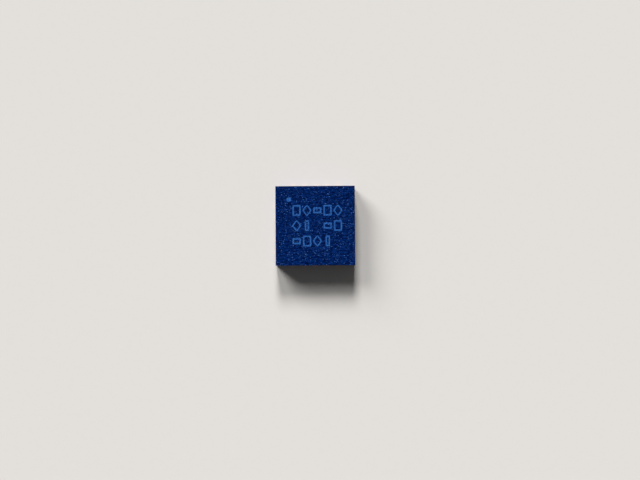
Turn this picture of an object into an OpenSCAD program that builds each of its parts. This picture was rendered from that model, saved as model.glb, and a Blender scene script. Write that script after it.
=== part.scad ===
// Quad flat no-lead chip: a moulded block round an etched copper frame, a silicon die and its bond wires.
// The origin is the centre of the seating plane and +Z is up. All sizes are in millimetres.
// From above, terminal 1 is at the top of the left side and the count runs anticlockwise.

/* [Moulding] */
// Height of the moulding from its underside to its top face
mould_height = 0.88; // [0.75:0.01:1.2]
// Height of the moulding's underside above the seating plane
standoff = 0.02; // [0.01:0.005:0.05]
// Diameter of the round mark beside terminal 1
mark_diameter = 0.22; // [0.1:0.01:0.4]
// Depth of the round mark
mark_depth = 0.015; // [0.01:0.005:0.05]
// Distance from the centre of the round mark to each of its two walls
mark_inset = 0.59; // [0.3:0.01:0.9]

/* [Terminals] */
// Number of terminals on each side
leads_per_side = 5; // [4:1:7]
// Distance between the middles of two neighbouring terminals
lead_pitch = 0.5; // [0.4:0.05:0.8]
// Distance from the middle of a row's last terminal to the wall past it
corner_margin = 0.75; // [0.7:0.01:1.2]
// Width of a terminal
lead_width = 0.24; // [0.18:0.01:0.3]
// Length of a terminal's soldered foot
lead_length = 0.4; // [0.3:0.01:0.46]
// Reach of a terminal's half-etched tip past its foot
lead_tip = 0.06; // [0.02:0.01:0.1]

/* [Copper frame] */
// Thickness of the copper sheet
frame_thickness = 0.2; // [0.15:0.01:0.25]
// Height of the half-etched steps above the seating plane
etch_height = 0.1; // [0.06:0.01:0.13]
// Clear gap between the terminals' tips and the pad's rim
frame_gap = 0.165; // [0.1:0.005:0.25]
// Width of the half-etched rim round the thermal pad
pad_rim = 0.1; // [0.04:0.01:0.15]
// Length of the pad's cut corner along each side, at terminal 1
pad_chamfer = 0.3; // [0.1:0.01:0.5]
// Width of the tie bars
tie_bar_width = 0.16; // [0.1:0.01:0.24]
// Clear gap between a tie bar and the terminals beside it
tie_bar_gap = 0.1; // [0.06:0.01:0.13]

/* [Die] */
// Width of the pad's top left clear on each side of the die
die_margin = 0.35; // [0.25:0.01:0.5]
// Thickness of the die
die_thickness = 0.2; // [0.12:0.01:0.28]
// Thickness of the adhesive under the die
attach_thickness = 0.025; // [0.015:0.005:0.05]
// Spread of the adhesive past the die's foot
attach_spread = 0.08; // [0.04:0.01:0.15]
// Height that the adhesive climbs up the die's sides
attach_climb = 0.08; // [0.03:0.01:0.1]
// Width of the adhesive at the top of its climb
attach_lip = 0.015; // [0.01:0.005:0.03]

/* [Bond wires] */
// Diameter of the wire
wire_diameter = 0.03; // [0.02:0.005:0.04]
// Diameter of the ball that is pressed onto the die
ball_diameter = 0.08; // [0.06:0.005:0.1]
// Height of the pressed ball
ball_height = 0.025; // [0.015:0.005:0.04]
// Distance from the die's edge to the middle of a row of balls
bond_inset = 0.08; // [0.06:0.01:0.15]
// Distance along the edge from a row's last ball to the next side's row
bond_corner = 0.12; // [0.08:0.01:0.25]
// Height of the loop's centre line above the die
loop_height = 0.15; // [0.11:0.01:0.25]
// Radius of the bend at the top of the loop
bend_radius = 0.05; // [0.03:0.005:0.07]
// Distance from a terminal's tip to the start of the stitch
stitch_inset = 0.1; // [0.06:0.01:0.2]
// Length of the stitch
stitch_length = 0.06; // [0.04:0.01:0.1]
// Width of the flattened stitch
stitch_width = 0.06; // [0.04:0.01:0.08]
// Thickness of the flattened stitch
stitch_thickness = 0.012; // [0.008:0.002:0.02]

/* [Hidden] */
lead_count = 4 * leads_per_side;
row_half = (leads_per_side - 1) / 2 * lead_pitch;
body_half = row_half + corner_margin;
lead_reach = lead_length + lead_tip;
step_height = frame_thickness - etch_height;
rim_half = body_half - lead_reach - frame_gap;
pad_half = rim_half - pad_rim;
// A rim of equal width keeps its cut corner parallel to the pad's
rim_chamfer = pad_chamfer + pad_rim * (2 - sqrt(2));
die_half = rim_half - die_margin;
die_base = frame_thickness + attach_thickness;
die_top = die_base + die_thickness;
bond_row_half = die_half - bond_inset - bond_corner;
bond_pitch = 2 * bond_row_half / (leads_per_side - 1);
stitch_start = body_half - lead_reach + stitch_inset;
// How far a cut runs past the face that it opens through
overrun = 0.1;
// Sides of the wire's cross-section and steps round its bend
wire_sides = 8;
bend_steps = 4;
// Half height of a flat-bottomed section with a half height of one
flat_share = cos(180 / wire_sides);

mould_colour = [0.04, 0.14, 0.35];
plating_colour = [0.78, 0.76, 0.7];
die_colour = [0.36, 0.38, 0.42];
attach_colour = [0.7, 0.7, 0.68];
wire_colour = [0.86, 0.66, 0.3];

function numbered(stem, i) = str(stem, i < 10 ? "_0" : "_", i);
function lead_name(i) = numbered("lead", i);
function wire_name(i) = numbered("bond_wire", i);

// Direction that a terminal's side faces, and its place from the middle of its row
function side_angle(i) = 180 + 90 * floor((i - 1) / leads_per_side);
function row_place(i) = (i - 1) % leads_per_side - (leads_per_side - 1) / 2;

// Puts a shape that points along +X from the middle of a wall at terminal i's wall and place in its row
module at_lead(i) {
    rotate(side_angle(i))
        translate([body_half, row_place(i) * lead_pitch])
            children();
}

// Plan of a strip that starts past the wall and ends inside in a half circle
module strip_plan(width, reach, past_wall) {
    translate([width / 2 - reach, 0])
        circle(d = width, $fn = 48);
    translate([width / 2 - reach, -width / 2])
        square([reach - width / 2 + past_wall, width]);
}

// A terminal: the full-thickness foot below, and the longer half-etched layer on top of it
module lead_shape(i, past = 0) {
    at_lead(i) {
        translate([0, 0, -past])
            linear_extrude(etch_height + past)
                strip_plan(lead_width, lead_length, past);
        translate([0, 0, etch_height])
            linear_extrude(step_height)
                strip_plan(lead_width, lead_reach, past);
    }
}

// A square with the corner at terminal 1 cut off
module cut_square(half, chamfer) {
    polygon([
        [-half, -half],
        [half, -half],
        [half, half],
        [chamfer - half, half],
        [-half, half - chamfer]
    ]);
}

// Four diagonal bars, sawn off at the walls and kept clear of the terminals
module tie_bar_plan(past) {
    difference() {
        intersection() {
            square(2 * (body_half + past), center = true);
            for (angle = [45, 135])
                rotate(angle)
                    square([4 * body_half, tie_bar_width], center = true);
        }
        for (i = [1:lead_count])
            at_lead(i)
                strip_plan(lead_width + 2 * tie_bar_gap, lead_reach + tie_bar_gap, overrun);
    }
}

module pad_shape(past = 0) {
    translate([0, 0, -past])
        linear_extrude(etch_height + past)
            cut_square(pad_half, pad_chamfer);
    translate([0, 0, etch_height])
        linear_extrude(step_height) {
            cut_square(rim_half, rim_chamfer);
            tie_bar_plan(past);
        }
}

module die_shape() {
    translate([-die_half, -die_half, die_base])
        cube([2 * die_half, 2 * die_half, die_thickness]);
}

// The adhesive: a bed under the die and a fillet that climbs its four sides
module attach_shape() {
    foot_half = die_half + attach_spread;
    difference() {
        translate([0, 0, frame_thickness])
            linear_extrude(attach_thickness + attach_climb, scale = (die_half + attach_lip) / foot_half)
                square(2 * foot_half, center = true);
        die_shape();
    }
}

// Cross-section of the wire: centre in the plane of the loop, direction of the wire, half width, half thickness
function wire_ring(centre, angle, half_width, half_thickness) = [
    for (k = [0:wire_sides - 1])
        let (turn = (k + 0.5) * 360 / wire_sides)
        [
            centre.x - half_thickness * sin(turn) * sin(angle),
            half_width * cos(turn),
            centre.y + half_thickness * sin(turn) * cos(angle)
        ]
];

// Rings from the ball at the origin, round the bend and down a straight slope to the stitch at a lower level
function wire_rings(run, drop) =
    let (
        ball_r = ball_diameter / 2,
        wire_r = wire_diameter / 2,
        stitch_half = stitch_thickness / 2 / flat_share,
        land = [run, wire_r - drop],
        bend = [bend_radius, loop_height - bend_radius],
        slope_to = land - bend,
        // The slope leaves the bend where the tangent through the landing touches it
        leave = atan2(slope_to.y, slope_to.x) + acos(bend_radius / norm(slope_to)),
        flat_z = stitch_thickness / 2 - drop
    )
    concat(
        [
            wire_ring([0, 0], 90, 0.85 * ball_r, 0.85 * ball_r),
            wire_ring([0, 0.4 * ball_height], 90, ball_r, ball_r),
            wire_ring([0, ball_height], 90, 0.7 * ball_r, 0.7 * ball_r),
            wire_ring([0, ball_height + wire_r], 90, wire_r, wire_r)
        ],
        [
            for (k = [0:bend_steps])
                let (at = 180 + (leave - 180) * k / bend_steps)
                wire_ring(bend + bend_radius * [cos(at), sin(at)], at - 90, wire_r, wire_r)
        ],
        [
            wire_ring(land, (leave - 90) / 2, wire_r, wire_r),
            wire_ring([run + 0.4 * stitch_length, flat_z], 0, stitch_width / 2, stitch_half),
            wire_ring([run + stitch_length, flat_z], 0, stitch_width / 2, stitch_half)
        ]
    );

// Closed skin over a list of rings with the same number of points
module ring_skin(rings) {
    last = len(rings) - 1;
    ends = [
        [for (k = [0:wire_sides - 1]) k],
        [for (k = [wire_sides - 1:-1:0]) last * wire_sides + k]
    ];
    sides = [
        for (r = [0:last - 1], k = [0:wire_sides - 1])
            let (
                a = r * wire_sides + k,
                b = r * wire_sides + (k + 1) % wire_sides,
                c = a + wire_sides,
                d = b + wire_sides
            )
            each [[a, c, b], [b, c, d]]
    ];
    polyhedron(points = [for (ring = rings) each ring], faces = concat(ends, sides));
}

module wire_shape(i) {
    ball = [die_half - bond_inset, row_place(i) * bond_pitch];
    stitch = [stitch_start, row_place(i) * lead_pitch];
    way = stitch - ball;
    rotate(side_angle(i))
        translate([ball.x, ball.y, die_top])
            rotate(atan2(way.y, way.x))
                ring_skin(wire_rings(norm(way), die_top - frame_thickness));
}

module lead(i) {
    color(plating_colour) lead_shape(i);
}

module thermal_pad() {
    color(plating_colour) pad_shape();
}

module die_attach() {
    color(attach_colour) attach_shape();
}

module silicon_die() {
    color(die_colour) die_shape();
}

module bond_wire(i) {
    color(wire_colour) wire_shape(i);
}

// The block fills all the room round the other pieces, and its top carries the round mark
module mould_body() {
    mould_top = standoff + mould_height;
    color(mould_colour)
        difference() {
            translate([-body_half, -body_half, standoff])
                cube([2 * body_half, 2 * body_half, mould_height]);
            translate([mark_inset - body_half, body_half - mark_inset, mould_top - mark_depth])
                cylinder(d = mark_diameter, h = mark_depth + overrun, $fn = 48);
            pad_shape(overrun);
            attach_shape();
            die_shape();
            for (i = [1:lead_count]) {
                lead_shape(i, overrun);
                wire_shape(i);
            }
        }
}

mould_body();
thermal_pad();
die_attach();
silicon_die();
for (i = [1:lead_count]) {
    lead(i);
    bond_wire(i);
}
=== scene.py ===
"""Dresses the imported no-lead chip and sets it on a pale floor, in soft light from behind and from the left.

The moulded block is a relief surface that its own inner pieces hollow out, the terminals and the pad are
lofted with etched sides, and the marks on the top are plain shapes carried round closed paths. Lengths
are in metres.
"""

import logging
import math
from dataclasses import dataclass
from enum import Enum

import bmesh
import bpy
import numpy as np
from mathutils import Matrix, Vector


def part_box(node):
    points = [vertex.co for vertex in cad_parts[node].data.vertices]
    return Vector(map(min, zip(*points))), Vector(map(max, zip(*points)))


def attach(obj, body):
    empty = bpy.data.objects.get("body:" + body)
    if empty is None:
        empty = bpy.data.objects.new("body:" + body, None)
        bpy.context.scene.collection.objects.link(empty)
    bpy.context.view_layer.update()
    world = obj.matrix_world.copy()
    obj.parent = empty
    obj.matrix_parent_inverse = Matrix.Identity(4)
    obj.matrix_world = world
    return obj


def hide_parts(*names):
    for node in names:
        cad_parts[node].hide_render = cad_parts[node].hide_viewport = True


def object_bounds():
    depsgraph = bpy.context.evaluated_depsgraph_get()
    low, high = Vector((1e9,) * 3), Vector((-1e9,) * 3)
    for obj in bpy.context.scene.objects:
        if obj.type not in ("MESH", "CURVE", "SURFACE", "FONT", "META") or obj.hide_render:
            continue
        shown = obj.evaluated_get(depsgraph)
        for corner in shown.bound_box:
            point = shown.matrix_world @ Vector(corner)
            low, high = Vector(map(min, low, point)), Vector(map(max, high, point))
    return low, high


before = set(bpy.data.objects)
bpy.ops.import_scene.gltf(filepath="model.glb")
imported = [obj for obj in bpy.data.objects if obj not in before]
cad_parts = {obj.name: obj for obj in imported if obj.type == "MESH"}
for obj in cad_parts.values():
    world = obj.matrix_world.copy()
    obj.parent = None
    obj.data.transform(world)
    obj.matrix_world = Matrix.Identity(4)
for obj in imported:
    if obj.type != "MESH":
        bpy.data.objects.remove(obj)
CAD_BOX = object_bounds()
# From the chip's middle to its walls
HALF_SIDE = CAD_BOX[1][0]

MM = 1e-3
UM = 1e-6
FULL_TURN = 2.0 * math.pi
QUARTER_TURN = 0.5 * math.pi
SIDES = 4
BODY = "root"
PHOTO_WIDTH_PX = 640
# Points nearer than this are one point
SAME_POINT = 0.01 * UM
# Keeps a lookup inside the last cell of a grid
JUST_INSIDE = 1e-6
# Width of a band of random waves, on a logarithmic scale, and the fewest cycles that are told from none
BAND_WIDTH = 0.35
FEWEST_CYCLES = 1e-9
# Windows on a noise, whose values lie round a half: the narrower the window, the harder the contrast
FULL = (0.0, 1.0)
SOFT = (0.25, 0.75)
EVEN = (0.3, 0.7)
HARD = (0.35, 0.65)

Array = np.ndarray
Faces = list[list[int]]
Triple = tuple[float, float, float]
Colour = Triple
Material = bpy.types.Material
Node = bpy.types.Node
SceneObject = bpy.types.Object
Socket = bpy.types.NodeSocket
Value = Socket | float | tuple[float, ...]
Span = tuple[Value, Value]
Sockets = tuple[Socket, ...]
Given = dict[str, Socket]

log = logging.getLogger("chip")


def linear(red: int, green: int, blue: int) -> Colour:
    """Gives the linear colour of three display values from 0 to 255, by the usual display curve."""
    share = np.array([red, green, blue]) / 255.0
    return tuple(np.where(share <= 0.04045, share / 12.92, ((share + 0.055) / 1.055) ** 2.4).tolist())


def smooth_step(value: Array, low: float, high: float) -> Array:
    """Rises from 0 at low to 1 at high along a cubic that is level at both ends."""
    share = np.clip((value - low) / (high - low), 0.0, 1.0)
    return share * share * (3.0 - 2.0 * share)


def directions(steps: int) -> Array:
    """Gives directions that lie evenly round a full turn."""
    return np.linspace(0.0, FULL_TURN, steps, endpoint=False)


class NodeSketch:
    """Adds nodes to one shader tree, each with its settings and inputs in a single call."""

    noise_roughness: float = 0.55

    def __init__(self, tree: bpy.types.NodeTree) -> None:
        """Keeps the tree that the nodes go into, and empties it."""
        self.tree = tree
        tree.nodes.clear()

    def feed(self, socket: Socket, value: Value) -> None:
        """Joins an input to a socket, or sets the input's own value.

        Args:
            socket: The input.
            value: The socket to join it to, or the value to set. A colour gets a full alpha.
        """
        if isinstance(value, Socket):
            self.tree.links.new(value, socket)
        elif socket.type == "RGBA":
            socket.default_value = (*value, 1.0)
        else:
            socket.default_value = value

    def add(self, kind: str, inputs: dict[str | int, Value] | None = None, **settings: object) -> Node:
        """Adds one node.

        Args:
            kind: Blender's name for the node, without its ShaderNode prefix.
            inputs: What each input takes, by name or number.
            **settings: Attributes of the node itself, such as its operation.

        Returns:
            The new node.
        """
        node = self.tree.nodes.new("ShaderNode" + kind)
        for name, setting in settings.items():
            setattr(node, name, setting)
        for key, value in (inputs or {}).items():
            self.feed(node.inputs[key], value)
        return node

    def math(self, operation: str, *values: Value) -> Socket:
        """Adds a Math node and gives its result."""
        return self.add("Math", dict(enumerate(values)), operation=operation).outputs[0]

    def share_of_sum(self, share: float, first: Value, second: Value) -> Socket:
        """Adds two values and gives a share of their sum."""
        return self.math("MULTIPLY", self.math("ADD", first, second), share)

    def ramp(self, value: Value, window: Span, levels: Span = FULL) -> Socket:
        """Takes a value from one level to another across a window, along a smooth, clamped step."""
        ends = dict(zip(("From Min", "From Max", "To Min", "To Max"), (*window, *levels)))
        return self.add("MapRange", {"Value": value, **ends}, interpolation_type="SMOOTHSTEP").outputs[0]

    def blend(self, share: Value, first: Value, second: Value) -> Socket:
        """Mixes two colours by a share from 0, all first, to 1, all second."""
        inputs = {"Factor": share, "A": first, "B": second}
        return self.add("Mix", inputs, data_type="RGBA").outputs["Result"]

    def stretch(self, vector: Value, scale: Triple) -> Socket:
        """Multiplies each coordinate of a vector by its own factor."""
        return self.add("VectorMath", {0: vector, 1: scale}, operation="MULTIPLY").outputs[0]

    def noise(self, vector: Value, scale: Value, detail: float = 2.0) -> Socket:
        """Adds a Noise Texture and gives its value, about 0 to 1."""
        inputs = {"Vector": vector, "Scale": scale, "Detail": detail, "Roughness": self.noise_roughness}
        return self.add("TexNoise", inputs).outputs["Fac"]

    def cells(self, vector: Value, scale: Value) -> tuple[Socket, Socket, Socket]:
        """Adds a pattern of irregular cells.

        Args:
            vector: Where the pattern is read.
            scale: Cells for each metre.

        Returns:
            The distance to the cell's middle, as a share of a cell, and two random numbers of that cell.
        """
        cells = self.add("TexVoronoi", {"Vector": vector, "Scale": scale}, feature="F1").outputs
        chance = self.add("SeparateColor", {0: cells["Color"]}).outputs
        return cells["Distance"], chance["Red"], chance["Green"]

    def pattern(self, group: "Pattern", **inputs: Value) -> bpy.types.NodeOutputs:
        """Places a shared pattern with its own values, and gives its outputs."""
        return self.add("Group", inputs, node_tree=group.tree()).outputs


class Pattern:
    """A shader node group that finishes share, built the first time that it is placed."""

    name: str
    inputs: dict[str, str]
    outputs: tuple[str, ...]

    def draw(self, sketch: NodeSketch, given: Given) -> Sockets:
        """Works out the pattern inside its group.

        Args:
            sketch: Where the nodes go.
            given: The group's inputs by name.

        Returns:
            One socket for each of the group's outputs.
        """
        raise NotImplementedError

    def tree(self) -> bpy.types.NodeTree:
        """Gives the group's node tree, which is made only once.

        Returns:
            The shader node tree of this pattern.
        """
        found = bpy.data.node_groups.get(self.name)
        if found:
            return found
        group = bpy.data.node_groups.new(self.name, "ShaderNodeTree")
        sketch = NodeSketch(group)
        for name, kind in self.inputs.items():
            group.interface.new_socket(name=name, in_out="INPUT", socket_type="NodeSocket" + kind)
        for name in self.outputs:
            group.interface.new_socket(name=name, in_out="OUTPUT", socket_type="NodeSocketFloat")
        entry = group.nodes.new("NodeGroupInput")
        leave = group.nodes.new("NodeGroupOutput")
        given = {socket.name: socket for socket in entry.outputs if socket.name}
        for name, socket in zip(self.outputs, self.draw(sketch, given)):
            group.links.new(socket, leave.inputs[name])
        return group


class PebbleGrain(Pattern):
    """Mottling, pale dots that are painted glints, and fine bumps at the scale of a moulded surface's grain.
    """

    name = "pebble_grain"
    inputs = {"Vector": "Vector", "Drawn": "Vector", "Size": "Float"}
    outputs = ("Mottle", "PaintedGlints", "Height")
    glints_per_grain: float = 2.4
    bumps_per_grain: float = 3.5
    glint_chance: Span = (0.2, 1.0)
    glint_reach: Span = (0.1, 0.6)
    ragged_window: Span = (0.2, 0.8)
    ragged_reach: Span = (-0.25, 0.25)
    glint_edge: Span = (0.0, 0.35)
    glint_rarity: float = 4.0

    def draw(self, sketch: NodeSketch, given: Given) -> Sockets:
        """Draws a noise at the grain's size, ragged painted glints of which few are bright, and a finer
        noise.

        Args:
            sketch: Where the nodes go.
            given: Where the painted glints and the bumps are read, where the mottle is read, and the grain's
                size.

        Returns:
            The mottle, the painted glints and the bumps' height.
        """
        per_metre = sketch.math("DIVIDE", 1.0, given["Size"])
        mottle = sketch.noise(given["Drawn"], per_metre, detail=3.0)
        # The ragged dots below are painted glints: pale spots that stand in for highlights on the grain.
        finer = sketch.math("MULTIPLY", per_metre, self.glints_per_grain)
        distance, chance, luck = sketch.cells(given["Vector"], finer)
        reach = sketch.ramp(chance, self.glint_chance, self.glint_reach)
        finest = sketch.math("MULTIPLY", per_metre, self.bumps_per_grain)
        height = sketch.noise(given["Vector"], finest)
        ragged = sketch.ramp(height, self.ragged_window, self.ragged_reach)
        inside = sketch.math("SUBTRACT", sketch.math("ADD", reach, ragged), distance)
        bright = sketch.math("POWER", luck, self.glint_rarity)
        return mottle, sketch.math("MULTIPLY", sketch.ramp(inside, self.glint_edge), bright), height


class SawLines(Pattern):
    """Fine level lines that a saw blade leaves along a wall."""

    name = "saw_lines"
    inputs = {"Vector": "Vector", "Spacing": "Float"}
    outputs = ("Lines", "Bands")
    line_shape: Triple = (0.02, 0.02, 1.0)
    band_shape: Triple = (0.15, 0.15, 0.25)

    def draw(self, sketch: NodeSketch, given: Given) -> Sockets:
        """Draws noise that changes fast with height and slowly along the wall, fine and coarse.

        Args:
            sketch: Where the nodes go.
            given: Where the pattern is read, and the lines' spacing.

        Returns:
            The fine lines and the broad bands.
        """
        per_metre = sketch.math("DIVIDE", 1.0, given["Spacing"])
        lines = sketch.noise(sketch.stretch(given["Vector"], self.line_shape), per_metre, detail=3.0)
        return lines, sketch.noise(sketch.stretch(given["Vector"], self.band_shape), per_metre)


PEBBLE_GRAIN = PebbleGrain()
SAW_LINES = SawLines()


@dataclass(frozen=True)
class Finish:
    """A surface: its name, what is the same all over it, and the reach of its roughness and its bump."""

    name: str
    specular: float = 0.5
    tint: Colour = (1.0, 1.0, 1.0)
    metallic: float = 0.0
    smoothest: float = 0.4
    roughest: float = 0.6
    bump: float = 0.5 * UM

    def surface(self, sketch: NodeSketch, place: Socket) -> Sockets:
        """Works out what changes over the surface.

        Args:
            sketch: Where the nodes go.
            place: The Object coordinates.

        Returns:
            The colour, the roughness and the height that the bump follows.
        """
        raise NotImplementedError

    def material(self) -> Material:
        """Makes the material of this finish.

        Returns:
            The material.
        """
        material = bpy.data.materials.new(self.name)
        material.use_nodes = True
        sketch = NodeSketch(material.node_tree)
        colour, rough, height = self.surface(sketch, sketch.add("TexCoord").outputs["Object"])
        bump = sketch.add("Bump", {"Strength": 1.0, "Distance": self.bump, "Height": height})
        inputs = {
            "Base Color": colour,
            "Metallic": self.metallic,
            "Roughness": rough,
            "Normal": bump.outputs[0],
            "Specular IOR Level": self.specular,
            "Specular Tint": self.tint,
        }
        shader = sketch.add("BsdfPrincipled", inputs)
        sketch.add("OutputMaterial", {"Surface": shader.outputs[0]})
        return material


@dataclass(frozen=True)
class MouldedFinish(Finish):
    """Moulding compound as it leaves the mould, with a grain, painted glints and a slow drift of tone."""

    smoothest: float = 0.8
    roughest: float = 0.95
    bump: float = 1.2 * UM
    dark: Colour = linear(0, 1, 34)
    light: Colour = linear(5, 44, 112)
    # Pale blue of the specks, which are painted glints: a painted highlight on the grain
    painted_glint: Colour = linear(106, 165, 255)
    painted_glint_share: float = 0.75
    grain: float = 68.0 * UM
    draw_out: float = 0.45
    glint_draw_out: float = 0.67
    mottle_window: Span = (0.38, 0.64)
    mottle_share: float = 0.6
    fine_share: float = 0.25
    drift: float = 0.8 * MM
    drift_share: float = 0.15

    def surface(self, sketch: NodeSketch, place: Socket) -> Sockets:
        """Mixes dark and light by the grain and the drift, adds painted glints and smooths the light parts.

        Args:
            sketch: Where the nodes go.
            place: The Object coordinates.

        Returns:
            The colour, the roughness and the bump's height.
        """
        drawn = sketch.stretch(place, (self.draw_out, 1.0, 1.0))
        eased = sketch.stretch(place, (self.glint_draw_out, 1.0, 1.0))
        grain = sketch.pattern(PEBBLE_GRAIN, Vector=eased, Drawn=drawn, Size=self.grain)
        drift = sketch.noise(place, 1.0 / self.drift, detail=1.0)
        share = sketch.math("MULTIPLY", sketch.ramp(grain["Mottle"], self.mottle_window), self.mottle_share)
        share = sketch.math("ADD", share, sketch.math("MULTIPLY", drift, self.drift_share))
        fine = sketch.ramp(grain["Height"], EVEN)
        share = sketch.math("ADD", share, sketch.math("MULTIPLY", fine, self.fine_share))
        ground = sketch.blend(share, self.dark, self.light)
        # Mixes in the specks, painted glints that stand in for highlights
        painted_glints = sketch.math("MULTIPLY", grain["PaintedGlints"], self.painted_glint_share)
        colour = sketch.blend(painted_glints, ground, self.painted_glint)
        rough = sketch.ramp(grain["Mottle"], SOFT, (self.roughest, self.smoothest))
        return colour, rough, grain["Height"]


@dataclass(frozen=True)
class SawnFinish(Finish):
    """Compound on a sawn wall: level saw lines, and glass beads that were cut through."""

    smoothest: float = 0.38
    bump: float = 0.7 * UM
    ground: Colour = linear(9, 28, 70)
    worn: Colour = linear(24, 50, 100)
    worn_share: float = 0.4
    band_window: Span = (0.4, 0.7)
    bead_dark: Colour = linear(18, 38, 80)
    bead_light: Colour = linear(48, 70, 112)
    bead_cover: float = 0.65
    bead_size: float = 52.0 * UM
    bead_share: float = 0.5
    small_bead_size: float = 21.0 * UM
    small_bead_share: float = 0.42
    bead_edge: Span = (0.0, 0.05)
    line_spacing: float = 9.0 * UM

    def beads(self, sketch: NodeSketch, place: Socket, size: float, share: float) -> Sockets:
        """Slices through balls, one of its own radius and tone in each cell of a pattern of irregular cells.

        Args:
            sketch: Where the nodes go.
            place: The Object coordinates.
            size: A cell's size.
            share: The largest radius, as a share of a cell.

        Returns:
            Whether a point is inside a ball, and that ball's tone.
        """
        distance, chance, tone = sketch.cells(place, 1.0 / size)
        inside = sketch.math("SUBTRACT", sketch.math("MULTIPLY", chance, share), distance)
        return sketch.ramp(inside, self.bead_edge), tone

    def surface(self, sketch: NodeSketch, place: Socket) -> Sockets:
        """Lays worn bands over the ground, then two sizes of cut beads, and lets the lines roughen it.

        Args:
            sketch: Where the nodes go.
            place: The Object coordinates.

        Returns:
            The colour, the roughness and the bump's height.
        """
        lines = sketch.pattern(SAW_LINES, Vector=place, Spacing=self.line_spacing)
        band = sketch.ramp(lines["Bands"], self.band_window)
        line = sketch.ramp(lines["Lines"], HARD)
        colour = sketch.blend(sketch.share_of_sum(self.worn_share, band, line), self.ground, self.worn)
        masks = []
        small = (self.small_bead_size, self.small_bead_share)
        large = (self.bead_size, self.bead_share)
        for size, share in (small, large):
            mask, tone = self.beads(sketch, place, size, share)
            glass = sketch.blend(tone, self.bead_dark, self.bead_light)
            colour = sketch.blend(sketch.math("MULTIPLY", mask, self.bead_cover), colour, glass)
            masks.append(mask)
        rough = sketch.ramp(line, FULL, (self.smoothest, self.roughest))
        return colour, rough, sketch.math("ADD", line, sketch.math("MAXIMUM", *masks))


@dataclass(frozen=True)
class CopperFinish(Finish):
    """Plated copper that shows bare where it was sawn off at the chip's walls."""

    smoothest: float = 0.26
    roughest: float = 0.44
    bump: float = 0.35 * UM
    plating: Colour = (0.68, 0.66, 0.61)
    plating_shade: Colour = (0.46, 0.445, 0.41)
    plating_mottle: float = 0.35
    copper: Colour = (0.55, 0.27, 0.17)
    copper_shade: Colour = (0.42, 0.2, 0.125)
    copper_mottle: float = 0.45
    reach: float = HALF_SIDE
    sawn_margin: float = 3.0 * UM
    grain: float = 22.0 * UM
    stains_per_mm: float = 6.0
    stain_window: Span = (0.45, 0.75)
    line_spacing: float = 5.0 * UM

    def surface(self, sketch: NodeSketch, place: Socket) -> Sockets:
        """Mixes a mottled plating and a lined copper by where the piece was sawn.

        That is where the larger of the two level distances from the chip's middle comes to the walls.

        Args:
            sketch: Where the nodes go.
            place: The Object coordinates.

        Returns:
            The colour, the roughness and the bump's height.
        """
        parts = sketch.add("SeparateXYZ", {0: place}).outputs
        far = sketch.math("MAXIMUM", *(sketch.math("ABSOLUTE", parts[axis]) for axis in "XY"))
        sawn = sketch.ramp(far, (self.reach - self.sawn_margin, self.reach))
        lines = sketch.pattern(SAW_LINES, Vector=place, Spacing=self.line_spacing)
        line = sketch.ramp(lines["Lines"], HARD)
        fine = sketch.ramp(sketch.noise(place, 1.0 / self.grain, detail=4.0), EVEN)
        stain = sketch.ramp(sketch.noise(place, self.stains_per_mm / MM), self.stain_window)
        plated_share = sketch.share_of_sum(self.plating_mottle, fine, stain)
        plated = sketch.blend(plated_share, self.plating, self.plating_shade)
        bare_share = sketch.share_of_sum(self.copper_mottle, line, stain)
        bare = sketch.blend(bare_share, self.copper, self.copper_shade)
        pick = sketch.add("Mix", {"Factor": sawn, "A": fine, "B": line}).outputs["Result"]
        rough = sketch.ramp(pick, FULL, (self.smoothest, self.roughest))
        return sketch.blend(sawn, plated, bare), rough, pick


@dataclass(frozen=True)
class MottledFinish(Finish):
    """A plain finish with a fine mottle: laser marks, silicon, adhesive, wire and the floor."""

    first: Colour = (0.5, 0.5, 0.5)
    second: Colour = (0.4, 0.4, 0.4)
    grain: float = 30.0 * UM

    def surface(self, sketch: NodeSketch, place: Socket) -> Sockets:
        """Mixes two colours by a fine noise, which also sets the roughness and the bump.

        Args:
            sketch: Where the nodes go.
            place: The Object coordinates.

        Returns:
            The colour, the roughness and the bump's height.
        """
        fine = sketch.noise(place, 1.0 / self.grain, detail=4.0)
        colour = sketch.blend(sketch.ramp(fine, EVEN), self.first, self.second)
        return colour, sketch.ramp(fine, SOFT, (self.smoothest, self.roughest)), fine


SKY_TINT = (0.11, 0.36, 1.0)
MOULDED_TOP = MouldedFinish("moulded_top", specular=0.02, tint=SKY_TINT)
MOULDED_UNDERSIDE = MouldedFinish(
    "moulded_underside",
    specular=0.25,
    tint=SKY_TINT,
    # A weaker share of the painted glints underneath
    painted_glint_share=0.15,
    grain=40.0 * UM,
    draw_out=1.0,
    glint_draw_out=1.0,
    smoothest=0.42,
    roughest=0.64,
    bump=0.5 * UM,
)
SAWN_WALL = SawnFinish("sawn_wall", specular=0.3, tint=SKY_TINT)
PLATED_COPPER = CopperFinish("plated_copper", metallic=1.0)
LASER_MARK = MottledFinish(
    "laser_mark",
    specular=0.06,
    tint=SKY_TINT,
    first=linear(57, 113, 186),
    second=linear(16, 58, 122),
    grain=32.0 * UM,
    smoothest=0.85,
    roughest=1.0,
    bump=1.5 * UM,
)
SILICON = MottledFinish(
    "silicon",
    first=(0.1, 0.11, 0.14),
    second=(0.07, 0.08, 0.11),
    metallic=0.6,
    smoothest=0.12,
    roughest=0.2,
    bump=0.1 * UM,
)
DIE_ADHESIVE = MottledFinish(
    "die_adhesive",
    first=(0.5, 0.5, 0.48),
    second=(0.36, 0.36, 0.34),
    bump=1.0 * UM,
)
GOLD_WIRE = MottledFinish(
    "gold_wire",
    first=(0.83, 0.55, 0.17),
    second=(0.7, 0.42, 0.11),
    metallic=1.0,
    smoothest=0.22,
    roughest=0.34,
    bump=0.2 * UM,
)
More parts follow.
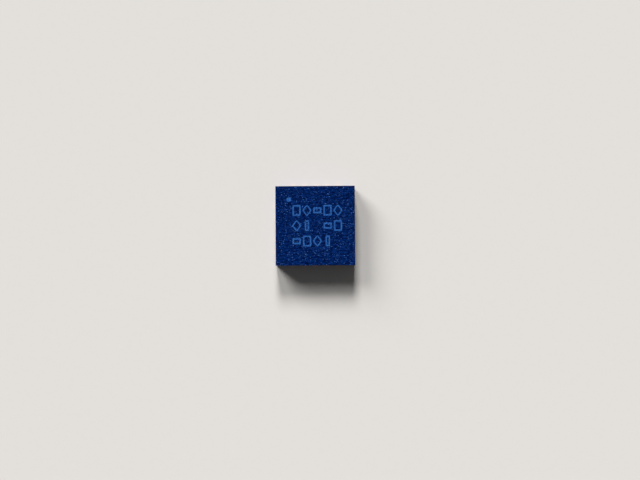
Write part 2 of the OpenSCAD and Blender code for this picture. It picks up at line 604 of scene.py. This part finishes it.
PALE_FLOOR = MottledFinish(
    "pale_floor",
    specular=0.0,
    first=(0.763, 0.738, 0.703),
    second=(0.757, 0.732, 0.697),
    grain=0.3 * MM,
    smoothest=0.85,
    roughest=0.95,
    bump=0.2 * UM,
)


def quads(rows: Array) -> Array:
    """Gives the four corners of every cell in a grid of vertex numbers, row by row."""
    return np.stack([rows[:-1, :-1], rows[1:, :-1], rows[1:, 1:], rows[:-1, 1:]], axis=-1).reshape(-1, 4)


def closed_round(rows: Array) -> Array:
    """Repeats the first column of a grid of vertex numbers at its end."""
    return np.concatenate([rows, rows[:, :1]], axis=1)


def loft(rings: Array) -> tuple[Array, Faces]:
    """Skins a stack of closed rings, and closes its two ends.

    Args:
        rings: Points as levels by points by three. Each ring is anticlockwise, seen against the direction
            of the stack.

    Returns:
        The vertices and the faces.
    """
    levels, points, _ = rings.shape
    rows = np.arange(levels * points).reshape(levels, points)
    faces = quads(closed_round(rows))[:, ::-1].tolist()
    ends = [rows[0, ::-1].tolist(), rows[-1].tolist()]
    return rings.reshape(-1, 3), faces + ends


def ring_tube(rings: Array) -> tuple[Array, Faces]:
    """Skins a stack of closed rings whose last one joins its first, as a link of chain does.

    Args:
        rings: Points as levels by points by three.

    Returns:
        The vertices and the faces.
    """
    levels, points, _ = rings.shape
    rows = np.arange(levels * points).reshape(levels, points)
    rows = np.concatenate([rows, rows[:1]], axis=0)
    return rings.reshape(-1, 3), quads(closed_round(rows)).tolist()


def new_object(name: str, data: bpy.types.ID) -> SceneObject:
    """Adds an object to the scene, at the origin.

    Args:
        name: The object's name.
        data: Its mesh, lamp or camera.

    Returns:
        The object.
    """
    made = bpy.data.objects.new(name, data)
    bpy.context.scene.collection.objects.link(made)
    return made


def joined(name: str, meshes: list[bpy.types.Mesh], *materials: Material) -> SceneObject:
    """Joins copies of meshes into a new object.

    Points that coincide become one, and faces that this leaves without an area go.

    Args:
        name: The object's name.
        meshes: What is copied.
        *materials: The finishes that its faces choose from.

    Returns:
        The object.
    """
    work = bmesh.new()
    for mesh in meshes:
        work.from_mesh(mesh)
    bmesh.ops.remove_doubles(work, verts=work.verts, dist=SAME_POINT)
    bmesh.ops.dissolve_degenerate(work, edges=work.edges, dist=SAME_POINT)
    whole = bpy.data.meshes.new(name)
    work.to_mesh(whole)
    work.free()
    for material in materials:
        whole.materials.append(material)
    return new_object(name, whole)


def mesh_object(name: str, points: Array, faces: Faces, *materials: Material) -> SceneObject:
    """Puts vertices and faces into a new object.

    Args:
        name: The object's name.
        points: The vertices.
        faces: The vertex numbers of each face.
        *materials: The finishes that its faces choose from.

    Returns:
        The object.
    """
    draft = bpy.data.meshes.new("draft")
    draft.from_pydata(points.tolist(), [], faces)
    piece = joined(name, [draft], *materials)
    bpy.data.meshes.remove(draft)
    return piece


def settle(piece: SceneObject, sharp_deg: float, slot: str, *nodes: str) -> None:
    """Shades a finished piece and puts it on the chip.

    Args:
        piece: The piece, in its place.
        sharp_deg: Edges that turn by more than this stay sharp.
        slot: A material slot's name, which is not used.
        *nodes: The solids that it stands for.
    """
    piece.data.shade_smooth()
    piece.data.set_sharp_from_angle(angle=math.radians(sharp_deg))
    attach(piece, BODY)
    if nodes:
        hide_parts(*nodes)
    stands_for = ", ".join(nodes) or "no solid"
    log.info("%s: %d faces, stands for %s", piece.name, len(piece.data.polygons), stands_for)


def random_waves(
    shape: tuple[int, ...], cell: tuple[float, ...], lengths: tuple[float, ...], seed: int
) -> Array:
    """Makes a repeating random field with a chosen wavelength along each of its directions.

    White noise is filtered so that waves near those lengths stay: the spectrum is a bell on a logarithmic
    scale round the frequency at which the stretched wave counts one cycle.

    Args:
        shape: Samples along each direction.
        cell: Distance between samples along each direction.
        lengths: Main wavelength along each direction.
        seed: Start of the random numbers.

    Returns:
        The field, with a mean of 0 and a spread of 1.
    """
    noise = np.random.default_rng(seed).standard_normal(shape)
    counts = [np.fft.fftfreq(n, d) * length for n, d, length in zip(shape, cell, lengths)]
    cycles = np.sqrt(sum(axis**2 for axis in np.meshgrid(*counts, indexing="ij")))
    bell = np.exp(-0.5 * (np.log(np.maximum(cycles, FEWEST_CYCLES)) / BAND_WIDTH) ** 2)
    field = np.fft.ifftn(np.fft.fftn(noise) * bell).real
    return (field - field.mean()) / field.std()


class MarkShape(Enum):
    """Plain outlines, each with the power of its superellipse and its share of the full width and height."""

    BOX = (8.0, 1.0, 1.0)
    LOZENGE = (1.15, 1.1, 1.05)
    SLAT = (8.0, 0.42, 1.0)
    TILE = (8.0, 1.0, 0.5)


@dataclass(frozen=True)
class LaserMarks:
    """Plain shapes in rows, and the round mark at terminal 1, as a laser leaves them on the top face.

    The round mark's section goes from its middle out over its face and back below it, in shares of its
    radius and of the lift.
    """

    rows: tuple[tuple[MarkShape | None, ...], ...] = (
        (MarkShape.BOX, MarkShape.LOZENGE, MarkShape.TILE, MarkShape.BOX, MarkShape.LOZENGE),
        (MarkShape.LOZENGE, MarkShape.SLAT, None, MarkShape.TILE, MarkShape.BOX),
        (MarkShape.TILE, MarkShape.BOX, MarkShape.LOZENGE, MarkShape.SLAT),
    )
    left: float = -0.82 * MM
    first_row: float = 0.67 * MM
    pitch: float = 0.455 * MM
    row_pitch: float = 0.675 * MM
    half_width: float = 0.15 * MM
    half_height: float = 0.205 * MM
    stroke: float = 0.068 * MM
    stroke_wander: float = 0.06
    stroke_wave: float = 5.0
    trough: float = 4.0 * UM
    trough_floor: float = 0.3
    trough_rim: float = 0.7
    lift: float = 2.0 * UM
    sink: float = 8.0 * UM
    steps_round: int = 96
    steps_across: int = 14
    dot_inset: float = 0.59 * MM
    dot_radius: float = 0.11 * MM
    dot_fill: float = 0.95
    dot_wander: float = 0.03
    dot_wave: float = 7.0
    dot_depth: float = 15.0 * UM
    dot_shares: tuple[float, ...] = (0.02, 0.2, 0.4, 0.6, 0.8, 0.92, 1.0, 0.92, 0.6, 0.02)
    dot_lifts: tuple[float, ...] = (1.0, 1.0, 1.0, 1.0, 1.0, 0.9, 0.0, -3.0, -4.0, -4.0)
    sharp_deg: float = 60.0
    seed: int = 5

    def places(self) -> list[tuple[MarkShape, float, float]]:
        """Lists each shape with the middle of its place."""
        return [
            (shape, self.left + column * self.pitch, self.first_row - row * self.row_pitch)
            for row, shapes in enumerate(self.rows)
            for column, shape in enumerate(shapes)
            if shape is not None
        ]

    def radius(self, shape: MarkShape, angle: Array, grow: Array | float) -> Array:
        """Distance from a shape's middle to its outline, which is a superellipse.

        The sum of the two coordinates' shares of the half sizes, each raised to the shape's power, is one.

        Args:
            shape: Which outline.
            angle: Directions from the middle.
            grow: What is added to the half width and the half height.

        Returns:
            The distances.
        """
        power, wide, tall = shape.value
        across = np.abs(np.cos(angle)) / (wide * self.half_width + grow)
        along = np.abs(np.sin(angle)) / (tall * self.half_height + grow)
        return (across**power + along**power) ** (-1.0 / power)

    def cover(self, x: Array, y: Array) -> Array:
        """Gives how far the laser has marked each point.

        A mark is full along the middle of its stroke, and fades out by a smooth step across its sides.

        Args:
            x: The points' places along X.
            y: The points' places along Y.

        Returns:
            Shares from 0 to 1.
        """
        cover = np.zeros_like(x)
        floor, rim = self.trough_floor * self.stroke, self.trough_rim * self.stroke
        for shape, middle_x, middle_y in self.places():
            angle = np.arctan2(y - middle_y, x - middle_x)
            off = np.abs(np.hypot(x - middle_x, y - middle_y) - self.radius(shape, angle, 0.0))
            cover = np.maximum(cover, 1.0 - smooth_step(off, floor, rim))
        return cover

    def dot_place(self, half_side: float) -> tuple[float, float]:
        """Gives the middle of the round mark."""
        return self.dot_inset - half_side, half_side - self.dot_inset

    def wander(self, wave: float, seed: int) -> Array:
        """Gives an uneven edge: a random wave round a mark, of so many steps."""
        return random_waves((self.steps_round,), (1.0,), (wave,), seed)

    def build(self, block: "Moulding") -> None:
        """Makes every mark on the block's top face.

        Each is a flat tube round its outline, raised a little above the trough and sunk deeper below it.

        Args:
            block: The moulded block that carries the marks.
        """
        material = LASER_MARK.material()
        turn = directions(self.steps_round)[:, None]
        around = directions(self.steps_across)[None, :]
        level = np.where(np.sin(around) > 0.0, self.lift, self.sink) * np.sin(around)
        for number, (shape, middle_x, middle_y) in enumerate(self.places(), start=1):
            edge = self.wander(self.stroke_wave, self.seed + number)[:, None]
            grow = 0.5 * self.stroke * np.cos(around) * (1.0 + self.stroke_wander * edge)
            reach = self.radius(shape, turn, grow)
            x = middle_x + reach * np.cos(turn)
            y = middle_y + reach * np.sin(turn)
            z = np.minimum(block.top_at(x, y) + level, block.top)
            skin = ring_tube(np.stack([x, y, z], axis=-1))
            piece = mesh_object(f"laser_mark_{number:02d}", *skin, material)
            settle(piece, self.sharp_deg, "mould_compound")
        self.build_dot(block, material)

    def build_dot(self, block: "Moulding", material: Material) -> None:
        """Makes the frosted floor of the round mark: a thin disc that follows the recess.

        Args:
            block: The moulded block that carries the mark.
            material: The finish of the laser's marks.
        """
        turn = directions(self.steps_round)[None, :]
        share = np.array(self.dot_shares)[:, None]
        rise = np.array(self.dot_lifts)[:, None]
        edge = self.wander(self.dot_wave, self.seed)[None, :]
        reach = self.dot_fill * self.dot_radius * share * (1.0 + self.dot_wander * edge)
        middle_x, middle_y = self.dot_place(block.half_side)
        x = middle_x + reach * np.cos(turn)
        y = middle_y + reach * np.sin(turn)
        z = block.top_at(x, y) + self.lift * rise
        points, faces = loft(np.stack([x, y, z], axis=-1))
        piece = mesh_object("terminal_1_mark", points, [face[::-1] for face in faces], material)
        settle(piece, self.sharp_deg, "mould_compound")


@dataclass
class Moulding:
    """The moulded block: a pebbled top, sawn walls and a plain underside, hollow round its inner pieces."""

    half_side: float
    underside: float
    top: float
    marks: LaserMarks
    columns: int = 216
    wall_rows: int = 18
    grain_across: float = 165.0 * UM
    grain_along: float = 95.0 * UM
    grain_depth: float = 3.5 * UM
    fine_length: float = 0.55
    fine_depth: float = 0.45
    highest_bump: float = 2.5
    laser_calm: float = 0.5
    dot_slope: tuple[float, float] = (-0.6, 0.9)
    edge_break: float = 7.0 * UM
    edge_drop: float = 2.0
    edge_chip: float = 8.0 * UM
    chip_length: float = 0.11 * MM
    chip_rarity: float = 0.9
    saw_depth: float = 1.6 * UM
    saw_set_back: float = 0.6
    saw_swing: float = 0.25
    saw_limit: float = 2.0
    saw_wave_rows: float = 3.0
    saw_wave: float = 0.5 * MM
    sharp_deg: float = 32.0
    seed: int = 21

    def __post_init__(self) -> None:
        """Works out the grid of the top face once: its points, their vertex numbers and their heights."""
        self.cell = 2.0 * self.half_side / self.columns
        lines = np.linspace(-self.half_side, self.half_side, self.columns + 1)
        self.grid_x, self.grid_y = np.meshgrid(lines, lines)
        self.numbers = np.arange(self.grid_x.size).reshape(self.grid_x.shape)
        self.heights = self.top + self.relief()

    def relief(self) -> Array:
        """Height of each grid point of the top face over the plain face.

        A mould that was eroded by sparks leaves round bumps that meet in creases, which is the size, without
        its sign, of a band of random waves. The laser smooths it along shallow troughs and sinks the round
        mark.

        Returns:
            The heights, row by row.
        """
        shape = (self.columns, self.columns)
        cells = (self.cell, self.cell)
        lengths = (self.grain_along, self.grain_across)
        fine_lengths = tuple(self.fine_length * length for length in lengths)
        waves = random_waves(shape, cells, lengths, self.seed)
        fine = random_waves(shape, cells, fine_lengths, self.seed + 1)
        bumps = np.abs(waves) + self.fine_depth * np.abs(fine)
        bumps = np.pad((bumps - bumps.mean()) / bumps.std(), ((0, 1), (0, 1)), mode="wrap")
        cover = self.marks.cover(self.grid_x, self.grid_y)
        dot_x, dot_y = self.marks.dot_place(self.half_side)
        off = np.hypot(self.grid_x - dot_x, self.grid_y - dot_y)
        inner, outer = (self.marks.dot_radius + cells_out * self.cell for cells_out in self.dot_slope)
        dot = 1.0 - smooth_step(off, inner, outer)
        plain = 1.0 - self.laser_calm * np.maximum(cover, dot)
        highest = self.highest_bump * self.grain_depth
        bumps = np.minimum(self.grain_depth * bumps, highest)
        return plain * bumps - self.marks.trough * cover - self.marks.dot_depth * dot - highest

    def top_at(self, x: Array, y: Array) -> Array:
        """Height of the top face at any points, from the straight lines between its grid points.

        Args:
            x: The points' places along X.
            y: The points' places along Y.

        Returns:
            The heights.
        """
        last = self.columns - JUST_INSIDE
        column = np.clip((x + self.half_side) / self.cell, 0.0, last)
        row = np.clip((y + self.half_side) / self.cell, 0.0, last)
        i, j = column.astype(int), row.astype(int)
        u, v = column - i, row - j
        near = self.heights[j, i] * (1.0 - u) + self.heights[j, i + 1] * u
        far = self.heights[j + 1, i] * (1.0 - u) + self.heights[j + 1, i + 1] * u
        return near * (1.0 - v) + far * v

    def border(self) -> Array:
        """Numbers of the top grid's border points, anticlockwise from its first corner."""
        n, numbers = self.columns, self.numbers
        return np.concatenate([numbers[0, :n], numbers[:n, n], numbers[n, n:0:-1], numbers[n:0:-1, 0]])

    def skin(self) -> tuple[Array, Faces, Array]:
        """Works out the whole outer surface.

        The top is the height grid, drawn in a little at its broken edge. Each wall row repeats the border
        lower down, set back by the saw's waviness. One face closes the underside.

        Returns:
            The points, the faces, and each face's finish: 0 on top, 1 on the walls and 2 underneath.
        """
        border = self.border()
        top = np.stack([self.grid_x, self.grid_y, self.heights], axis=-1).reshape(-1, 3)
        edge = top[border].copy()
        chips = random_waves(border.shape, (self.cell,), (self.chip_length,), self.seed + 2)
        broken = self.edge_break + self.edge_chip * np.clip(chips - self.chip_rarity, 0.0, 1.0)
        limit = (self.half_side - broken)[:, None]
        top[border, :2] = np.clip(edge[:, :2], -limit, limit)

        share = np.linspace(0.0, 1.0, self.wall_rows + 1)[:, None]
        start = (edge[:, 2] - self.edge_drop * broken)[None, :]
        height = start + (self.underside - start) * share
        row_cell = (self.top - self.underside) / self.wall_rows
        lengths = (self.saw_wave_rows * row_cell, self.saw_wave)
        waves = random_waves(height.shape, (row_cell, self.cell), lengths, self.seed + 3)
        swing = self.saw_swing * np.clip(waves, -self.saw_limit, self.saw_limit)
        reach = (self.half_side - self.saw_depth * (self.saw_set_back + swing))[..., None]
        plan = np.clip(np.broadcast_to(edge[:, :2], (*height.shape, 2)), -reach, reach)
        walls = np.concatenate([plan, height[..., None]], axis=-1)

        rows = len(top) + np.arange(height.size).reshape(height.shape)
        top_faces = quads(self.numbers)[:, ::-1]
        wall_faces = quads(closed_round(np.concatenate([border[None, :], rows])))
        faces = top_faces.tolist() + wall_faces.tolist() + [rows[-1, ::-1].tolist()]
        finish = np.repeat([0, 1, 2], [len(top_faces), len(wall_faces), 1])
        return np.concatenate([top, walls.reshape(-1, 3)]), faces, finish

    def build(self, cutters: list[SceneObject]) -> None:
        """Makes the block, hollows it with its inner pieces and dresses it.

        Args:
            cutters: Closed pieces to cut out, one after the other.
        """
        points, faces, finish = self.skin()
        dresses = [dress.material() for dress in (MOULDED_TOP, SAWN_WALL, MOULDED_UNDERSIDE)]
        piece = mesh_object("moulded_block", points, faces, *dresses)
        piece.data.polygons.foreach_set("material_index", finish.astype(np.int32))
        for cutter in cutters:
            cut = piece.modifiers.new(cutter.name, "BOOLEAN")
            cut.operation = "DIFFERENCE"
            cut.solver = "MANIFOLD"
            cut.object = cutter
        graph = bpy.context.evaluated_depsgraph_get()
        hollow = bpy.data.meshes.new_from_object(piece.evaluated_get(graph))
        log.info("the block has %d faces before and %d after its hollows", len(faces), len(hollow.polygons))
        piece.modifiers.clear()
        piece.data = hollow
        settle(piece, self.sharp_deg, "mould_compound", "mould_body")


@dataclass(frozen=True)
class EtchedSheet:
    """The copper sheet that the terminals and the pad were etched out of, from both of its faces."""

    thickness: float
    edge_round: float = 14.0 * UM
    etch_hollow: float = 7.0 * UM
    round_points: int = 5
    side_points: int = 8
    sharp_deg: float = 40.0

    def levels(self) -> tuple[Array, Array, Array]:
        """Works out the levels of an etched edge from the sheet's underside to its top.

        Each half is rounded by a quarter circle at the sheet's face and hollowed by half a sine wave next to
        it, and a cusp is left where the halves meet.

        Returns:
            Height of each level, its set-back from the full outline, and whether it is in the upper half.
        """
        half = 0.5 * self.thickness
        corner = np.linspace(0.0, QUARTER_TURN, self.round_points)
        round_z = self.edge_round * (1.0 - np.cos(corner))
        round_back = self.edge_round * (1.0 - np.sin(corner))
        share = np.linspace(0.0, 1.0, self.side_points)[1:]
        side_z = self.edge_round + (half - self.edge_round) * share
        side_back = self.etch_hollow * np.sin(math.pi * share)
        half_z = np.concatenate([round_z, side_z])
        half_back = np.concatenate([round_back, side_back])
        height = np.concatenate([half_z, self.thickness - half_z[::-1]])
        back = np.concatenate([half_back, half_back[::-1]])
        return height, back, np.repeat([False, True], len(half_z))


@dataclass(frozen=True)
class Terminals:
    """The terminals: etched copper strips with a round inner end, sawn off at the walls.

    The first side is two quarter turns on from +X.
    """

    half_side: float
    width: float
    reach: float
    sheet: EtchedSheet
    per_side: int = 5
    first_side: int = 2
    pitch: float = 0.5 * MM
    tip: float = 0.06 * MM
    side_points: int = 8
    tip_points: int = 17

    def strip(self) -> Array:
        """Points of a terminal that runs in from the middle of a wall, as levels by points by three.

        Each level is a closed outline: along one side, round the half circle of the end, back along the
        other side and across the sawn end. The upper half runs straight on by the length of the tip before
        its half circle.

        Returns:
            The points, with the wall at zero and the chip's inside towards minus X.
        """
        height, back, upper = (values[:, None] for values in self.sheet.levels())
        half_width = 0.5 * self.width - back
        foot_bend = 0.5 * self.width + self.tip - self.reach
        way = np.linspace(0.0, 1.0, self.side_points + 1)[None, :-1]
        turn = np.linspace(QUARTER_TURN, 3.0 * QUARTER_TURN, self.tip_points)
        turns = np.where(upper, np.pad(turn, 1, mode="edge"), np.linspace(turn[0], turn[-1], turn.size + 2))
        bend = foot_bend - np.where(upper, np.pad(np.full(turn.size, self.tip), 1), 0.0)
        side_y = np.broadcast_to(half_width, (len(height), way.size))
        first_x = np.broadcast_to(foot_bend * way, side_y.shape)
        tip_x, tip_y = bend + half_width * np.cos(turns), half_width * np.sin(turns)
        last_x = foot_bend - first_x[:, 1:]
        end_y = half_width * (2.0 * way - 1.0)
        x = np.concatenate([first_x, tip_x, last_x, np.zeros_like(end_y)], axis=1)
        y = np.concatenate([side_y, tip_y, -side_y[:, 1:], end_y], axis=1)
        return np.stack([x, y, np.broadcast_to(height, x.shape)], axis=-1)

    def build(self, material: Material) -> list[SceneObject]:
        """Makes every terminal at its place.

        Args:
            material: The finish of the copper.

        Returns:
            The terminals, in order.
        """
        strip = self.strip()
        made = []
        for number in range(1, SIDES * self.per_side + 1):
            side, place = divmod(number - 1, self.per_side)
            turn = Matrix.Rotation(QUARTER_TURN * (self.first_side + side), 3, "Z")
            row = (place - 0.5 * (self.per_side - 1)) * self.pitch
            skin = loft((strip + [self.half_side, row, 0.0]) @ np.array(turn).T)
            piece = mesh_object(f"terminal_{number:02d}", *skin, material)
            settle(piece, self.sheet.sharp_deg, "plated_copper", f"lead_{number:02d}")
            made.append(piece)
        return made


@dataclass(frozen=True)
class ThermalPad:
    """The pad under the die: a foot with a cut corner at terminal 1, a thin rim and four tie bars."""

    half_side: float
    sheet: EtchedSheet
    foot_half: float = 1.025 * MM
    rim: float = 0.1 * MM
    foot_cut: float = 0.3 * MM
    cut_corner: int = 1
    bar_width: float = 0.16 * MM

    def rings(self) -> Array:
        """Points of the pad, as levels by points by three.

        Each corner is drawn from its diagonal: how far out a point lies along it, and how far across. An
        outline leaves the straight side at the end of the cut, goes in to the tie bar and, in the upper
        half, out along the bar to the two walls. In the lower half the bar's five points lie on the outline
        itself. The cut grows with the outline, so that the rim is as wide along it as along the sides.

        Returns:
            The points, anticlockwise from the corner between +X and +Y.
        """
        height, back, upper = (values[:, None, None] for values in self.sheet.levels())
        diagonal = math.sqrt(2.0)
        half = self.foot_half + np.where(upper, self.rim, 0.0) - back
        cut = (self.foot_cut + (half - self.foot_half) * (2.0 - diagonal)) / diagonal
        even = np.linspace(-1.0, 1.0, 5)
        spread = np.where(upper, np.sign(even), even)
        bar_across = spread * (0.5 * self.bar_width - back)
        is_cut = (np.arange(SIDES) == self.cut_corner)[None, :, None]
        bar_out = diagonal * half - np.where(is_cut, cut, np.abs(bar_across))
        on_bar = upper & (np.abs(even) < 1.0)
        bar_out = np.where(on_bar, diagonal * self.half_side - np.abs(bar_across), bar_out)
        side_out = np.broadcast_to(diagonal * half - cut, (*bar_out.shape[:2], 1))
        side_across = np.broadcast_to(cut, side_out.shape)
        bar_across = np.broadcast_to(bar_across, bar_out.shape)
        out = np.concatenate([side_out, bar_out, side_out], axis=2)
        across = np.concatenate([-side_across, bar_across, side_across], axis=2)
        turn = (QUARTER_TURN * (0.5 + np.arange(SIDES)))[None, :, None]
        x = out * np.cos(turn) - across * np.sin(turn)
        y = out * np.sin(turn) + across * np.cos(turn)
        points = np.stack([x, y, np.broadcast_to(height, x.shape)], axis=-1)
        return points.reshape(len(height), -1, 3)

    def build(self, material: Material) -> SceneObject:
        """Makes the pad with its tie bars.

        Args:
            material: The finish of the copper.

        Returns:
            The pad.
        """
        piece = mesh_object("etched_pad", *loft(self.rings()), material)
        settle(piece, self.sheet.sharp_deg, "plated_copper", "thermal_pad")
        return piece


@dataclass(frozen=True)
class InnerPieces:
    """The sealed pieces: the die, its adhesive and the bond wires, which keep their solids."""

    wires: int = 20

    def wire_names(self) -> list[str]:
        """Names of the bond wires' solids."""
        return [f"bond_wire_{number:02d}" for number in range(1, self.wires + 1)]

    def build(self) -> None:
        """Gives the solids their finishes."""
        dresses = {"silicon_die": SILICON.material(), "die_attach": DIE_ADHESIVE.material()}
        dresses |= dict.fromkeys(self.wire_names(), GOLD_WIRE.material())
        for node, material in dresses.items():
            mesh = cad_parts[node].data
            mesh.materials.clear()
            mesh.materials.append(material)
            log.info("%s keeps its solid, in %s", node, material.name)


@dataclass(frozen=True)
class Lamp:
    """A broad, far lamp behind the chip, which lights the floor evenly."""

    name: str
    level: float
    left_deg: float
    spread_deg: float
    elevation_deg: float

    def build(self) -> None:
        """Hangs the lamp.

        A white level surface comes out as bright as level: the lamp's strength times the sine of its
        elevation, over pi.
        """
        rise = math.radians(self.elevation_deg)
        left = math.radians(self.left_deg)
        towards = Vector((-math.sin(left) * math.cos(rise), math.cos(left) * math.cos(rise), math.sin(rise)))
        data = bpy.data.lights.new(self.name, "SUN")
        data.angle = math.radians(self.spread_deg)
        data.energy = self.level * math.pi / math.sin(rise)
        new_object(self.name, data).rotation_euler = (-towards).to_track_quat("-Z", "Y").to_euler()


@dataclass(frozen=True)
class Studio:
    """The floor, the light and the camera."""

    floor_half: float = 6.0
    floor_lines: int = 4
    floor_level: float = -1.0 * UM
    lamps: tuple[Lamp, ...] = (
        Lamp("window", level=0.54, left_deg=3.0, spread_deg=16.0, elevation_deg=29.0),
        Lamp("side_window", level=0.4, left_deg=40.0, spread_deg=30.0, elevation_deg=26.0),
    )
    fill: float = 0.07
    backdrop: Colour = (0.765, 0.74, 0.705)
    focal_mm: float = 50.0
    sensor_mm: float = 36.0
    nearest: float = 1.0 * MM
    farthest: float = 100.0
    px_per_mm: float = 22.77
    tilt_deg: float = 2.5
    roll_deg: float = 0.4
    aim: Triple = (0.203 * MM, -0.639 * MM, 0.9 * MM)

    def build(self) -> None:
        """Sets up all three."""
        self.lay_floor()
        self.light()
        self.look()

    def lay_floor(self) -> None:
        """Lays a flat floor just under the terminals, on lines ten times closer with each step in."""
        steps = self.floor_half * np.logspace(1 - self.floor_lines, 0, self.floor_lines)
        lines = np.concatenate([-steps[::-1], steps])
        x, y = np.meshgrid(lines, lines)
        points = np.stack([x, y, np.full_like(x, self.floor_level)], axis=-1)
        faces = quads(np.arange(x.size).reshape(x.shape))[:, ::-1]
        floor = mesh_object("floor", points.reshape(-1, 3), faces.tolist(), PALE_FLOOR.material())

    def light(self) -> None:
        """Lights the chip from behind and from the left, with an even fill and a pale backdrop.

        The backdrop shows to the camera and in gloss that the camera sees. Light that has left a matt
        surface finds the fill, also by way of the copper, which would otherwise throw bright patches on the
        floor.
        """
        for lamp in self.lamps:
            lamp.build()
        world = bpy.data.worlds.new("studio")
        world.use_nodes = True
        sketch = NodeSketch(world.node_tree)
        path = sketch.add("LightPath").outputs
        seen = sketch.math("MAXIMUM", path["Is Camera Ray"], path["Is Glossy Ray"])
        seen = sketch.math("MAXIMUM", seen, path["Is Transmission Ray"])
        straight = sketch.math("LESS_THAN", path["Diffuse Depth"], 1.0)
        seen = sketch.math("MULTIPLY", seen, straight)
        level = sketch.blend(seen, (self.fill, self.fill, self.fill), self.backdrop)
        sky = sketch.add("Background", {"Color": level, "Strength": 1.0})
        sketch.add("OutputWorld", {"Surface": sky.outputs[0]})
        bpy.context.scene.world = world

    def look(self) -> None:
        """Sets the camera over the chip, tilted a little towards its front."""
        data = bpy.data.cameras.new("camera")
        data.lens = self.focal_mm
        data.sensor_width = self.sensor_mm
        data.clip_start = self.nearest
        data.clip_end = self.farthest
        distance = PHOTO_WIDTH_PX / self.px_per_mm * MM * self.focal_mm / self.sensor_mm
        tilt = math.radians(self.tilt_deg)
        back = Vector((0.0, -math.sin(tilt), math.cos(tilt)))
        roll = Matrix.Rotation(-math.radians(self.roll_deg), 4, "Z")
        turn = (-back).to_track_quat("-Z", "Y").to_matrix().to_4x4()
        camera = new_object("camera", data)
        camera.matrix_world = Matrix.Translation(Vector(self.aim) + distance * back) @ turn @ roll
        bpy.context.scene.camera = camera


def main() -> None:
    """Builds the chip's pieces in order."""
    logging.basicConfig(level=logging.INFO, format="%(name)s: %(message)s")
    bpy.context.scene.view_settings.view_transform = "Standard"
    Studio().build()

    low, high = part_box("mould_body")
    lead_low, lead_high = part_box("lead_01")
    sheet = EtchedSheet(thickness=lead_high.z - lead_low.z)
    terminals = Terminals(
        half_side=high.x,
        width=lead_high.y - lead_low.y,
        reach=lead_high.x - lead_low.x,
        sheet=sheet,
    )
    pad = ThermalPad(half_side=high.x, sheet=sheet)
    inner = InnerPieces()
    marks = LaserMarks()
    block = Moulding(half_side=high.x, underside=low.z, top=high.z, marks=marks)

    copper = PLATED_COPPER.material()
    cutters = [*terminals.build(copper), pad.build(copper)]
    hollows = {
        "adhesive_hollow": ["die_attach"],
        "die_hollow": ["silicon_die"],
        "wire_hollows": inner.wire_names(),
    }
    copies = [joined(name, [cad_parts[node].data for node in nodes]) for name, nodes in hollows.items()]
    block.build(cutters + copies)
    for copy in copies:
        bpy.data.objects.remove(copy)
    marks.build(block)
    inner.build()


if __name__ == "__main__":
    main()
